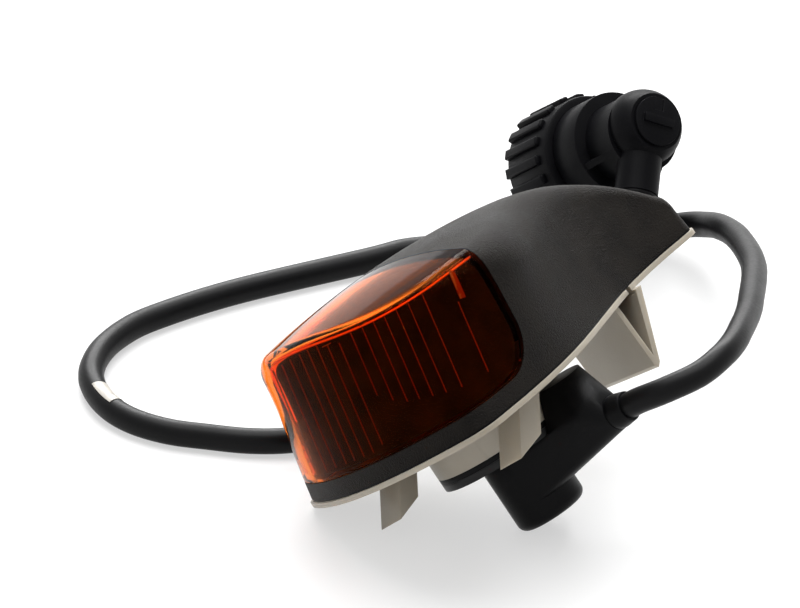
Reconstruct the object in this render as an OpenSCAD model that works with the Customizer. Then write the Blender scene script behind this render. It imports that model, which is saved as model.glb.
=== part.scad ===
// Vehicle indicator lamp with its lead, lying on a table as it was put down.
// Lamp pieces are drawn in the lamp's own axes: X from the front face to the tail,
// Y across to the far side, Z up from the panel face. at_rest() then lays them down.
// Connector pieces are drawn along their own axis, and in_lead_end() puts them in place.

/* [Lamp body] */
// Length of the lamp from the front face to the tail
lamp_l = 137; // [130:1:152]
// Half width of the lamp at its front corners
lamp_half_w = 44; // [40:0.5:48]
// Height of the front edge of the lens above the panel face
front_h = 43; // [38:0.5:48]
// Height that pulls the roof up over the lens
roof_h = 50; // [44:0.5:56]
// Height of the tail end
tail_h = 12; // [9:0.5:16]
// Half width of the tail end
tail_half_w = 4.5; // [4.5:0.5:8]
// Radius of the two front corners in plan
corner_r = 10; // [8:0.5:14]
// Distance along the lamp over which the shoulders stay full
shoulder_x = 71; // [64:1:76]
// Distance along the lamp at which the flanks have drawn in
waist_x = 77; // [70:1:84]
// Half width that the flanks aim for at the waist
waist_half_w = 6; // [5:0.5:12]
// Bulge of the front face in plan
front_bulge = 9.5; // [6:0.5:12]
// Radius of the edge between walls and roof
edge_r = 9; // [6:0.5:11]
// Draft of the walls
wall_draft = 6; // [3:0.5:8]
// Wall of the housing
housing_wall = 2.4; // [1.8:0.1:3]
// Gap between the base plate's rim and the pieces around it
skirt_gap = 0.3; // [0.2:0.05:0.6]
// Thickness of the seal between base plate and housing
base_seal_t = 0.6; // [0.4:0.1:1]

/* [Lens] */
// Wall of the lens
lens_wall = 2.2; // [1.6:0.1:2.8]
// Distance from the front face to the back edge of the lens on the roof
lens_back = 48; // [43:0.5:54]
// Height of the dark band below the lens
band_h = 7; // [5:0.5:10]
// Radius of the lower back corner of the lens
lens_corner_r = 13; // [8:0.5:18]
// Slope of the back edge of the lens
lens_lean = 8; // [0:1:14]
// Gap between the lens and the housing
lens_gap = 0.25; // [0.15:0.05:0.5]
// Width of the tongue that laps behind the housing
tongue_w = 2.6; // [2:0.2:4]
// Pitch of the fine flutes behind the front face
fine_pitch = 4.5; // [3.6:0.1:6]
// Pitch of the coarse flutes behind the sides
coarse_pitch = 4.6; // [4:0.1:6]
// Depth of the flutes
flute_depth = 1.3; // [0.8:0.1:1.8]

/* [Base plate] */
// Thickness of the flange that meets the panel
flange_t = 1.4; // [1:0.1:2]
// How far the flange stands out past the housing skirt
flange_out = 0.6; // [0.3:0.1:1]
// Wall of the base plate's ribs, legs and sockets
rib_t = 1.6; // [1.2:0.1:2.2]
// Outer radius of the bulb socket
socket_r = 20.5; // [19:0.25:22]
// Depth of the bulb socket below the panel face
socket_depth = 10.5; // [8.5:0.5:13]
// Distance from the front face to the bulb socket's axis
socket_x = 45; // [41:0.5:49]
// Length of a snap leg along the lamp
leg_l = 13; // [10:0.5:15]
// Width of a snap leg across the lamp
leg_w = 8; // [6:0.5:10]
// Depth of a snap leg below the panel face
leg_depth = 13.5; // [11:0.5:17]
// Depth of the tail hook below the panel face
hook_depth = 20; // [16:0.5:23]
// Width of the tail hook across the lamp
hook_w = 28; // [24:0.5:30]
// Length of the tail hook along the lamp at its root
hook_l = 13; // [10:0.5:16]
// Distance from the front face to the tail hook
hook_x = 87.5; // [82:0.5:90]

/* [Bulb] */
// Radius of the bulb's glass
glass_r = 13.2; // [12.5:0.1:13.4]
// Radius of the bulb's cap
cap_r = 7.5; // [7.3:0.1:7.7]
// Length of the bulb from the foot of the cap to the top of the glass
bulb_l = 46; // [42:0.5:48]
// Length of the bulb's cap
cap_l = 17; // [15:0.5:19]

/* [Bulb holder and elbow] */
// Thickness of the holder's flange
holder_flange_t = 2; // [1.5:0.1:3]
// Thickness of the holder's seal
seal_t = 1.6; // [1.2:0.1:2.4]
// Outer radius of the elbow's upright barrel
elbow_r = 10; // [9:0.25:11.5]
// Depth of the elbow's foot below the panel face
elbow_depth = 35; // [31:0.5:37]
// Length of the elbow's arm from the barrel's axis
arm_l = 36.5; // [34:0.5:39]
// Depth of the arm's axis below the panel face
arm_depth = 18.5; // [17:0.5:20]
// Turn of the arm from the lamp's length
arm_turn = -74; // [-80:1:-68]

/* [Lead] */
// Diameter of the cable
cable_d = 7; // [6.5:0.1:7.5]
// Length of the tapered sleeve on the end of the elbow's arm
boot_l = 5; // [4:0.5:9]

/* [Connector] */
// Outer radius of the coupling ring
ring_r = 17.7; // [16.5:0.25:18.5]
// Length of the coupling ring
ring_l = 19.7; // [17:0.5:23]
// Wall of the coupling ring
ring_wall = 2.6; // [2.2:0.1:3.2]
// Number of grip ribs round the ring
grip_n = 24; // [18:1:28]
// Radius of the plug body's rear collar
collar_r = 14.2; // [13.6:0.1:14.8]
// Radius of the plug nose that enters the mating half
nose_r = 11.8; // [11:0.1:12.2]
// Radius of the elbow head of the backshell
head_r = 10.4; // [9.2:0.1:11]
// Radius of the barrel between head and collar
neck_r = 10.8; // [9:0.1:11.5]
// Distance from the head's axis to the collar
neck_l = 11.6; // [10:0.5:14]
// Radius of the backshell's cable leg
shell_leg_r = 5.9; // [5.6:0.1:6.6]
// Length of the backshell's cable leg from the head's axis
shell_leg_l = 18; // [16:0.5:21]
// Radial running gap of the coupling ring
ring_gap = 0.3; // [0.2:0.05:0.4]

/* [Hidden] */
fn_round = 72;
fn_small = 32;
eps = 0.01;

// How the lamp lies: far side down, tail up, resting on its elbow and a front leg
roll_down = -37.9;
pitch_up = -10.4;
rest_shift = [-66.68, -3.78, 24.33];

// Where the lead's end lies: the head's centre, then its turns
head_at = [104.4, 49.6, 40.2];
head_turns = [35, 39, 82];

// The lead's way from the elbow to its end, as points that its middle passes through
lead_way = [
  [-9, -56, 51], [-1, -60.5, 54], [8, -60.5, 55.5], [17, -57, 54.5], [27, -51, 52], [39, -43, 48],
  [51, -34, 44], [78, -12, 34], [99, 11, 24.5], [108, 25, 19], [114, 36, 13], [115.2, 44.5, 9],
  [111.2, 52.8, 5.6], [104.3, 58, 3.9], [96, 63, 3.5], [86, 72, 3.5], [75, 86, 3.5], [64, 96, 3.5],
  [52, 101, 3.5], [17, 116, 3.5], [-7, 123, 3.5], [-20, 124, 3.6], [-33, 121, 3.8], [-44, 114, 3.8],
  [-51, 103, 3.6], [-53, 92, 3.5], [-51, 81, 3.5], [-46, 71, 3.5], [-40, 61, 3.5], [-32, 53, 3.5],
  [-21, 48, 3.5], [-4, 45, 3.5], [18, 42, 3.5], [36, 39, 3.5], [52, 37, 6], [65, 36, 10.5],
  [76, 36, 16]
];

function bezier(p, t) =
  pow(1 - t, 3) * p[0] + 3 * t * pow(1 - t, 2) * p[1]
  + 3 * t * t * (1 - t) * p[2] + pow(t, 3) * p[3];

// Plan of the body, drawn in by a wall, as one half from the front to the tail
front_steps = 7;
corner_steps = 6;
flank_steps = 14;
tail_steps = 4;
front_turn = atan(2 * front_bulge / (lamp_half_w - corner_r));

function half_plan(wall) =
  let (
    w = lamp_half_w - wall,
    r = corner_r - wall,
    tail_w = tail_half_w - wall,
    face_y = w - r + r * sin(front_turn),
    corner_c = [wall + front_bulge + r * cos(front_turn), w - r],
    tail_c = lamp_l - wall - tail_w,
    flank = [
      [corner_c[0], w], [shoulder_x, w], [waist_x, waist_half_w - wall / 2], [tail_c, tail_w]
    ]
  )
  concat(
    [for (i = [0 : front_steps - 1])
      let (v = i / front_steps) [wall + front_bulge * v * v, face_y * v]],
    [for (i = [0 : corner_steps - 1])
      let (a = 180 - front_turn - i * (90 - front_turn) / corner_steps)
      corner_c + r * [cos(a), sin(a)]],
    [for (i = [0 : flank_steps - 1]) bezier(flank, i / flank_steps)],
    [for (i = [0 : tail_steps])
      let (a = 90 - i * 90 / tail_steps) [tail_c + tail_w * cos(a), tail_w * sin(a)]]
  );

function full_plan(wall) =
  let (half = half_plan(wall), m = len(half) - 1)
  concat(half, [for (i = [m - 1 : -1 : 1]) [half[i][0], -half[i][1]]]);

// Side profile of the roof along the middle, and the height that it has at x
roof_steps = 20;
roof_line = [
  for (i = [0 : roof_steps])
    bezier([[4, front_h], [60, roof_h], [106, roof_h - 6], [lamp_l - 2, tail_h]], i / roof_steps)
];
roof_table = [for (p = roof_line) [p[0], p[1]]];
function roof_at(x) = lookup(x, roof_table);

// Rise of the ridge above the edge of the roof, for a half width there
function crown_at(w) = 0.1 * w;

function unit(v) = v / norm(v);

// Rings of points that wrap the body's form, drawn in by a wall
edge_steps = 3;
cap_levels = [0.45, 0.8];

function form_rings(wall, low) =
  let (
    plan = full_plan(wall),
    n = len(plan),
    half = n / 2,
    inward = [for (i = [0 : n - 1])
      let (t = unit(plan[(i + 1) % n] - plan[(i + n - 1) % n])) [t[1], -t[0]]],
    wide = [for (p = plan) max(abs(p[1]), tail_half_w - wall)],
    top = [for (i = [0 : n - 1])
      roof_at(plan[i][0]) - wall - crown_at(wide[i])],
    bend = [for (i = [0 : n - 1]) min(edge_r, 0.42 * wide[i], 0.42 * top[i])],
    lean = tan(wall_draft),
    walls = [for (v = [0, 0.5, 1])
      [for (i = [0 : n - 1])
        let (z = v == 0 ? low : v * (top[i] - bend[i]), d = max(z, 0) * lean)
        [plan[i][0] + inward[i][0] * d, plan[i][1] + inward[i][1] * d, z]]],
    edges = [for (k = [1 : edge_steps])
      [for (i = [0 : n - 1])
        let (
          a = k * 90 / edge_steps,
          d = (top[i] - bend[i]) * lean + bend[i] * (1 - cos(a))
        )
        [plan[i][0] + inward[i][0] * d, plan[i][1] + inward[i][1] * d,
          top[i] - bend[i] + bend[i] * sin(a)]]],
    rim = edges[edge_steps - 1],
    spine_a = 24,
    spine_b = lamp_l - 2 * tail_half_w,
    caps = [for (v = cap_levels)
      [for (i = [0 : n - 1])
        let (s = [min(max(rim[i][0], spine_a), spine_b), 0])
        [rim[i][0] + v * (s[0] - rim[i][0]), rim[i][1] * (1 - v),
          rim[i][2] + crown_at(wide[i]) * (1 - pow(1 - v, 2))]]]
  )
  concat(walls, edges, caps);

// Solid body form, drawn in by a wall, from the height low upwards
module body_form(wall, low) {
  rings = form_rings(wall, low);
  n = len(rings[0]);
  last = len(rings) - 1;
  half = n / 2;
  points = [for (ring = rings) for (p = ring) p];
  sides = [for (k = [0 : last - 1]) for (i = [0 : n - 1])
    let (j = (i + 1) % n)
    for (f = [[k * n + i, k * n + j, (k + 1) * n + j],
      [k * n + i, (k + 1) * n + j, (k + 1) * n + i]]) f];
  roof = [for (i = [0 : half - 1])
    let (a = last * n + i, b = a + 1, c = last * n + (n - i) % n, d = last * n + n - i - 1)
    for (f = (i == 0 ? [[a, b, d]] : i == half - 1 ? [[a, b, c]] : [[a, b, c], [c, b, d]])) f];
  floor = [[for (i = [n - 1 : -1 : 0]) i]];
  polyhedron(points, concat(sides, roof, floor), convexity = 6);
}

module shell(outer, inner, low) {
  difference() {
    body_form(outer, low);
    body_form(inner, low - 1);
  }
}

// Side view of the space that the lens fills, grown or shrunk by an amount
module lens_side(grow) {
  r = lens_corner_r + grow;
  low = band_h - grow;
  back = lens_back - 4 + grow;
  polygon(concat(
    [[-20, low]],
    [for (a = [0 : 15 : 90]) [back - r + r * sin(a), low + r - r * cos(a)]],
    [[back + (80 - low - r) * tan(lens_lean), 80], [-20, 80]]
  ));
}

module lens_space(grow) {
  rotate([90, 0, 0]) linear_extrude(2 * lamp_half_w + 20, center = true) lens_side(grow);
}

// Keeps a free-form piece together as one mesh
module free_form() {
  resize([0, 0, 0]) children();
}

// Lays a piece that is drawn in the lamp's own axes down on the table
module at_rest() {
  translate(rest_shift) rotate([roll_down, pitch_up, 0]) children();
}

// Lamp body
tongue_gap = 0.3;
tongue_t = 1.3;
tongue_out = housing_wall + tongue_gap;

module housing() {
  color("dimgray") at_rest() free_form()
    difference() {
      shell(0, housing_wall, flange_t + base_seal_t);
      lens_space(lens_gap);
    }
}

// Flutes inside the lens: fine ones behind the front face, coarse ones behind the sides
module lens_flutes() {
  fine_count = floor((lamp_half_w - corner_r) / fine_pitch);
  top = front_h - edge_r - 1;
  intersection() {
    shell(lens_wall - 0.2, lens_wall + flute_depth, 0);
    lens_space(-0.6);
    union() {
      for (k = [-fine_count : fine_count])
        translate([0, (k - 0.225) * fine_pitch, band_h + 1])
          cube([corner_r, fine_pitch * 0.45, top - band_h]);
      for (x = [corner_r + 2 : coarse_pitch : lens_back - 10])
        translate([x, -lamp_half_w, band_h + 1])
          cube([coarse_pitch * 0.45, 2 * lamp_half_w, top - band_h]);
    }
  }
}

module lens() {
  color("darkorange", 0.8) at_rest() free_form() {
    intersection() {
      shell(0, lens_wall, 0);
      lens_space(0);
    }
    intersection() {
      shell(lens_wall - 0.3, tongue_out + tongue_t, 0);
      difference() {
        lens_space(0);
        lens_space(-2);
      }
    }
    intersection() {
      shell(tongue_out, tongue_out + tongue_t, 0);
      difference() {
        lens_space(tongue_w);
        lens_space(-2);
      }
    }
    lens_flutes();
  }
}

// Base plate
rim_out = tongue_out + tongue_t + skirt_gap;
rim_gap_l = 20;
rim_h = band_h - tongue_w - 0.6;
socket_in = socket_r - rib_t;

module plan_plate(wall, t) {
  linear_extrude(t) polygon(full_plan(wall));
}

leg_near_x = 27;
leg_far_x = 14;
leg_y = 22;

// One snap leg: two ribs at right angles with a barb at the foot
module snap_leg() {
  translate([0, 0, -leg_depth]) {
    rotate([90, 0, 0]) translate([0, 0, -rib_t]) linear_extrude(rib_t)
      polygon([[0, 2], [1.5, 0], [leg_l - 5, 1], [leg_l, leg_depth + eps], [0, leg_depth + eps]]);
    rotate([90, 0, 90]) linear_extrude(rib_t)
      polygon([
        [0, 2], [leg_w + 1, 0], [leg_w + 2, 3], [leg_w * 0.6, leg_depth * 0.5],
        [leg_w * 0.6, leg_depth + eps], [0, leg_depth + eps]
      ]);
  }
}

// Spring hook near the tail: a folded strip that goes down and comes back up
module tail_hook() {
  rotate([90, 0, 0]) linear_extrude(hook_w, center = true)
    difference() {
      polygon([[0, eps], [1, -hook_depth + 1], [2, -hook_depth], [3.4, -hook_depth + 1],
        [hook_l, eps]]);
      polygon([[rib_t, 1], [rib_t + 1, -hook_depth + 2 * rib_t], [hook_l - rib_t - 0.3, 1]]);
    }
}

module base_plate() {
  color("ivory") at_rest() free_form()
    difference() {
      union() {
        plan_plate(-flange_out, flange_t);
        translate([0, 0, flange_t / 2]) difference() {
          plan_plate(rim_out, rim_h - flange_t / 2);
          translate([0, 0, -1]) plan_plate(rim_out + rib_t, rim_h + 2);
          translate([lamp_l - rim_gap_l, -tail_half_w * 2, -1])
            cube([rim_gap_l, tail_half_w * 4, rim_h + 2]);
        }
        translate([socket_x, 0, -socket_depth])
          cylinder(r = socket_r, h = socket_depth + rim_h + 1, $fn = fn_round);
        translate([leg_near_x, -leg_y, 0]) snap_leg();
        translate([leg_far_x, leg_y - leg_w / 2, 0]) snap_leg();
        translate([hook_x, 0, 0]) tail_hook();
      }
      translate([socket_x, 0, -socket_depth - 1])
        cylinder(r = socket_in, h = socket_depth + rim_h + 4, $fn = fn_round);
      translate([hook_x + rib_t, -hook_w / 2 + 1, -1])
        cube([hook_l - 2 * rib_t - 0.6, hook_w - 2, flange_t + 2]);
    }
}

module base_seal() {
  color("black") at_rest()
    translate([0, 0, flange_t]) difference() {
      plan_plate(0.2, base_seal_t);
      translate([0, 0, -1]) plan_plate(housing_wall, base_seal_t + 2);
    }
}

// Bulb
bulb_foot = -socket_depth - seal_t + 1.2;
holder_floor = -socket_depth - seal_t - holder_flange_t;
tube_t = 1.6;
tube_in = cap_r + 0.15;

module bulb_glass() {
  neck = 4;
  top = bulb_foot + bulb_l;
  base = bulb_foot + cap_l;
  color("lightyellow", 0.6) at_rest() translate([socket_x, 0, 0])
    rotate_extrude($fn = fn_round) intersection() {
      union() {
        translate([0, top - glass_r]) circle(glass_r, $fn = fn_round);
        polygon([[0, base], [cap_r - 0.8, base], [cap_r - 0.5, base + neck],
          [glass_r * 0.94, top - glass_r * 1.34], [0, top - glass_r]]);
      }
      translate([0, base]) square([glass_r + 1, bulb_l]);
    }
}

module bulb_cap() {
  pin_z = bulb_foot + 7;
  color("silver") at_rest() translate([socket_x, 0, 0]) {
    rotate_extrude($fn = fn_round) polygon([
      [0, bulb_foot], [2.4, bulb_foot], [2.8, bulb_foot + 1], [cap_r - 1.2, bulb_foot + 1.6],
      [cap_r, bulb_foot + 3], [cap_r, bulb_foot + cap_l - 2], [cap_r - 0.4, bulb_foot + cap_l],
      [0, bulb_foot + cap_l]
    ]);
    for (side = [-1, 1]) translate([0, side * (cap_r - 0.4), pin_z]) rotate([-90 * side, 0, 0])
      cylinder(r = 0.95, h = 1.7, $fn = fn_small);
  }
}

// Sprung disc under the foot of the bulb
module centre_contact() {
  color("goldenrod") at_rest() translate([socket_x, 0, 0]) {
    translate([0, 0, bulb_foot - 0.6]) cylinder(r = 4, h = 0.6, $fn = fn_small);
    translate([0, 0, -socket_depth - seal_t]) cylinder(r = 1.8, h = 1.2 - 0.6 + eps, $fn = fn_small);
  }
}

// Sprung tongue that bears on the side of the cap
module side_contact() {
  color("goldenrod") at_rest() translate([socket_x, 0, 0])
    translate([cap_r + 0.02, -1.6, -socket_depth - seal_t])
      linear_extrude(9) polygon([[0.08, 0], [0.4, 0], [0.4, 3.2], [0.08, 3.2]]);
}

module bulb_holder() {
  top = bulb_foot + 8.6;
  color("black") at_rest() translate([socket_x, 0, 0])
    difference() {
      union() {
        translate([0, 0, holder_floor]) cylinder(r = socket_r, h = holder_flange_t, $fn = fn_round);
        translate([0, 0, -socket_depth - seal_t]) difference() {
          cylinder(r = socket_in - 0.25, h = 9, $fn = fn_round);
          translate([0, 0, -1]) cylinder(r = socket_in - 2.2, h = 11, $fn = fn_round);
        }
        translate([0, 0, -socket_depth - seal_t - eps])
          cylinder(r = tube_in + tube_t, h = top + socket_depth + seal_t, $fn = fn_round);
        for (a = [45 : 90 : 315]) rotate([0, 0, a])
          translate([tube_in + 0.5, -0.8, -socket_depth - seal_t - eps])
            cube([socket_in - tube_in - 2, 1.6, 5]);
      }
      translate([0, 0, -socket_depth - seal_t])
        cylinder(r = tube_in, h = 30, $fn = fn_round);
      for (side = [-1, 1]) translate([-1.3, side * (tube_in + 1) - 1.5, bulb_foot + 5.8])
        cube([2.6, 3, 10]);
      translate([cap_r, -1.9, -socket_depth - seal_t]) cube([1, 3.8, 9.4]);
    }
}

module holder_seal() {
  color("black") at_rest() translate([socket_x, 0, -socket_depth - seal_t])
    difference() {
      cylinder(r = socket_r, h = seal_t, $fn = fn_round);
      translate([0, 0, -1]) cylinder(r = socket_in, h = seal_t + 2, $fn = fn_round);
    }
}

// Elbow: an upright barrel below the holder, and a rounded shoulder that stands up
// beside the socket and carries the cable
barrel_top = holder_floor;
foot_r = 2.5;
shoulder_r = 7.5;
arm_end_r = 4.8;
lead_hole_r = cable_d / 2 - 0.5;

module elbow() {
  color("black") at_rest() translate([socket_x, 0, 0])
    difference() {
      union() {
        rotate_extrude($fn = fn_round) {
          translate([0, -elbow_depth + foot_r]) square([elbow_r, elbow_depth - foot_r + barrel_top]);
          translate([0, -elbow_depth]) square([elbow_r - foot_r, foot_r + eps]);
          intersection() {
            translate([elbow_r - foot_r, -elbow_depth + foot_r]) circle(foot_r, $fn = fn_round);
            translate([0, -elbow_depth]) square([elbow_r, foot_r + eps]);
          }
        }
        rotate([0, 0, arm_turn]) hull() {
          translate([0, 0, -elbow_depth + 6]) cylinder(r = elbow_r - 0.5, h = 12, $fn = fn_small);
          translate([24, 3, -arm_depth]) cylinder(r = shoulder_r - 1, h = arm_depth - 4, $fn = fn_small);
          translate([arm_l - shoulder_r, 0, -15]) sphere(r = shoulder_r, $fn = fn_small);
          translate([arm_l - 2, 0, -arm_depth]) rotate([0, 90, 0])
            cylinder(r = arm_end_r, h = 2, $fn = fn_small);
        }
      }
      translate([0, 0, holder_floor]) cylinder(r = socket_r + 0.7, h = 40, $fn = fn_round);
      rotate([0, 0, arm_turn]) translate([elbow_r, 0, -arm_depth]) rotate([0, 90, 0])
        cylinder(r = lead_hole_r, h = arm_l, $fn = fn_round);
    }
}

// Soft tapered sleeve in which the lead ends
module elbow_boot() {
  color("black") at_rest() translate([socket_x, 0, -arm_depth]) rotate([0, 0, arm_turn])
    translate([arm_l, 0, 0]) rotate([0, 90, 0])
      rotate_extrude($fn = fn_round) polygon([
        [lead_hole_r, 0], [arm_end_r - 0.1, 0], [arm_end_r - 0.1, 1.5],
        [cable_d / 2 + 0.6, boot_l], [lead_hole_r, boot_l]
      ]);
}

// Sizes along the connector
head_cut = 6.8;
head_up = 1.2;
collar_t = 11.2;
lip_t = 1.7;
clip_t = 1;
nose_l = 20;
inner_r = 6;
insert_t = 5;
grommet_out = 4;
groove_x = neck_l + collar_t;
ring_x = groove_x + ring_gap;
clip_x = ring_x + lip_t + ring_gap;
nose_x = groove_x + nose_l;
hub_r = collar_r - 1.4;
insert_r = nose_r - 1.9;
insert_x = clip_x + clip_t;
pin_r = 0.95;
pin_circle_r = 5.8;
wire_room_r = 8;

// Lead
function turn_x(p, a) = [p[0], p[1] * cos(a) - p[2] * sin(a), p[1] * sin(a) + p[2] * cos(a)];
function turn_y(p, a) = [p[0] * cos(a) + p[2] * sin(a), p[1], -p[0] * sin(a) + p[2] * cos(a)];
function turn_z(p, a) = [p[0] * cos(a) - p[1] * sin(a), p[0] * sin(a) + p[1] * cos(a), p[2]];
function turned(p, turns) = turn_z(turn_y(turn_x(p, turns[0]), turns[1]), turns[2]);

// Where the lead leaves the elbow's sleeve and the connector's grommet, and which way
lamp_turns = [roll_down, pitch_up, 0];
exit_way = turned([cos(arm_turn), sin(arm_turn), 0], lamp_turns);
exit_at = turned([socket_x, 0, -arm_depth], lamp_turns) + rest_shift + (arm_l + boot_l) * exit_way;
entry_way = turned([0, 0, -1], head_turns);
entry_at = head_at + (shell_leg_l + grommet_out) * entry_way;

lead_points = concat(
  [exit_at, exit_at + 4 * exit_way], lead_way, [entry_at + 7 * entry_way, entry_at]
);
lead_sides = 10;
label_from = 24;
lead_last = len(lead_points) - 1;

// Point of the lead at a place that is counted in points from the start
function way_point(k) =
  k < 0 ? 2 * lead_points[0] - lead_points[1]
  : k > lead_last ? 2 * lead_points[lead_last] - lead_points[lead_last - 1] : lead_points[k];
function lead_at(u) =
  let (
    k = min(floor(u), lead_last - 1),
    t = u - k,
    a = way_point(k - 1), b = way_point(k), c = way_point(k + 1), d = way_point(k + 2),
    p = 0.5 * (2 * b + (c - a) * t + (2 * a - 5 * b + 4 * c - d) * t * t
      + (3 * b - a - 3 * c + d) * t * t * t)
  )
  [p[0], p[1], max(p[2], cable_d / 2)];

module lead_run(radius, stops) {
  n = len(stops);
  m = lead_sides;
  points = [for (u = stops)
    let (
      p = lead_at(u),
      way = unit(lead_at(min(u + 0.05, lead_last)) - lead_at(max(u - 0.05, 0))),
      way_out = u == 0 ? exit_way : u == lead_last ? -entry_way : way,
      side = unit(cross(way_out, [0, 0, 1])),
      up = cross(side, way_out)
    )
    for (i = [0 : m - 1])
      let (a = 360 * (i - 0.5) / m + 90)
      p + radius * (cos(a) * side + sin(a) * up)];
  skin = [for (k = [0 : n - 2]) for (i = [0 : m - 1])
    let (j = (i + 1) % m)
    for (f = [[k * m + i, k * m + j, (k + 1) * m + j],
      [k * m + i, (k + 1) * m + j, (k + 1) * m + i]]) f];
  ends = [[for (i = [m - 1 : -1 : 0]) i], [for (i = [0 : m - 1]) (n - 1) * m + i]];
  polyhedron(points, concat(skin, ends), convexity = 8);
}

module cable() {
  color("black") lead_run(cable_d / 2, [for (u = [0 : 0.5 : lead_last]) u]);
}

module cable_label() {
  color("white") difference() {
    lead_run(cable_d / 2 + 0.25, [label_from, label_from + 0.5, label_from + 1]);
    lead_run(cable_d / 2, [for (u = [label_from - 0.5 : 0.5 : label_from + 1.5]) u]);
  }
}

// Connector on the lead's end: X runs along its axis to the nose, the leg goes down
module in_lead_end() {
  translate(head_at) rotate(head_turns) children();
}

module along_x(x) {
  translate([x, 0, 0]) rotate([0, 90, 0]) children();
}

// Angled backshell: a round head with a barrel to the plug and a leg for the lead
module backshell() {
  color("black") in_lead_end()
    difference() {
      union() {
        translate([0, 0, head_up]) sphere(r = head_r, $fn = fn_round);
        along_x(0) cylinder(r = neck_r, h = neck_l, $fn = fn_round);
        translate([0, 0, -shell_leg_l]) cylinder(r = shell_leg_r, h = shell_leg_l, $fn = fn_round);
        rotate([-45, 0, 0]) linear_extrude(1.8, center = true)
          polygon([[neck_l - 9, neck_r - 1], [neck_l, neck_r - 1], [neck_l, collar_r - 0.6]]);
      }
      translate([-head_cut - 10, -head_r - 2, -head_r - 2])
        cube([10, 2 * head_r + 4, 2 * head_r + 4]);
      translate([0, 0, head_up]) along_x(-head_cut - 1)
        cylinder(r = inner_r, h = head_cut + 2, $fn = fn_round);
      along_x(0) cylinder(r = inner_r, h = neck_l + 1, $fn = fn_round);
      translate([0, 0, -shell_leg_l - 1])
        cylinder(r = shell_leg_r - 1.4, h = shell_leg_l + 1, $fn = fn_round);
    }
}

module backshell_cap() {
  cap_out = 1;
  color("black") in_lead_end() translate([0, 0, head_up])
    difference() {
      union() {
        along_x(-head_cut - cap_out) cylinder(r = head_cut, h = cap_out, $fn = fn_round);
        along_x(-head_cut) cylinder(r = inner_r - 0.1, h = 3, $fn = fn_round);
        translate([-head_cut - 2 * cap_out, -4.5, -1.2]) cube([cap_out + eps, 9, 2.4]);
      }
      translate([-head_cut - 2 * cap_out, -1.2, 3]) cube([cap_out * 1.6, 2.4, 6]);
    }
}

// Soft sleeve in the mouth of the leg, tapering on to the lead
module cable_grommet() {
  color("black") in_lead_end() translate([0, 0, -shell_leg_l])
    rotate_extrude($fn = fn_round) polygon([
      [lead_hole_r, -grommet_out], [cable_d / 2 + 0.5, -grommet_out], [shell_leg_r - 0.3, -1],
      [shell_leg_r - 0.3, 0], [shell_leg_r - 1.5, 0], [shell_leg_r - 1.5, 7], [lead_hole_r, 7]
    ]);
}

// Plug: collar, hub on which the ring turns, and the hollow nose
module plug_body() {
  seal_x = nose_x - 8;
  color("black") in_lead_end() along_x(0)
    rotate_extrude($fn = fn_round) polygon([
      [inner_r, neck_l], [collar_r, neck_l], [collar_r, groove_x], [hub_r, groove_x],
      [hub_r, clip_x], [hub_r - 0.6, clip_x], [hub_r - 0.6, insert_x], [hub_r, insert_x],
      [hub_r, insert_x + 1], [nose_r, insert_x + 1], [nose_r, seal_x], [nose_r - 0.7, seal_x],
      [nose_r - 0.7, seal_x + 2], [nose_r, seal_x + 2], [nose_r, nose_x - 0.6],
      [nose_r - 0.6, nose_x], [insert_r, nose_x], [insert_r, insert_x],
      [wire_room_r, insert_x], [wire_room_r, neck_l + 2], [inner_r, neck_l + 2]
    ]);
}

pin_places = [for (i = [0 : 6]) i == 6 ? [0, 0] : pin_circle_r * [cos(60 * i), sin(60 * i)]];

module contact_insert() {
  color("dimgray") in_lead_end() along_x(insert_x) difference() {
    cylinder(r = insert_r, h = insert_t, $fn = fn_round);
    for (p = pin_places) translate([p[0], p[1], -1]) cylinder(r = pin_r, h = insert_t + 2, $fn = fn_small);
  }
}

module contact_pins() {
  pin_l = nose_x - 2.5 - insert_x;
  color("goldenrod") in_lead_end() along_x(insert_x) for (p = pin_places) translate(p) {
    translate([0, 0, -2]) cylinder(r = pin_r, h = pin_l + 1.4, $fn = fn_small);
    translate([0, 0, pin_l - 0.6]) cylinder(r1 = pin_r, r2 = pin_r - 0.45, h = 0.6, $fn = fn_small);
  }
}

// Seal ring round the nose
module nose_seal() {
  seal_x = nose_x - 7;
  color("black") in_lead_end() along_x(seal_x)
    rotate_extrude($fn = fn_round) translate([nose_r - 0.65, 0])
      polygon([[0, -0.8], [1, -0.8], [1.6, -0.3], [1.6, 0.3], [1, 0.8], [0, 0.8]]);
}

// Snap clip that keeps the ring on the hub
module ring_clip() {
  color("silver") in_lead_end() along_x(clip_x) difference() {
    cylinder(r = ring_r - ring_wall - ring_gap, h = clip_t, $fn = fn_round);
    translate([0, 0, -1]) cylinder(r = hub_r - 0.5, h = clip_t + 2, $fn = fn_round);
    translate([-1.5, 0, -1]) cube([3, ring_r, clip_t + 2]);
  }
}

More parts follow.
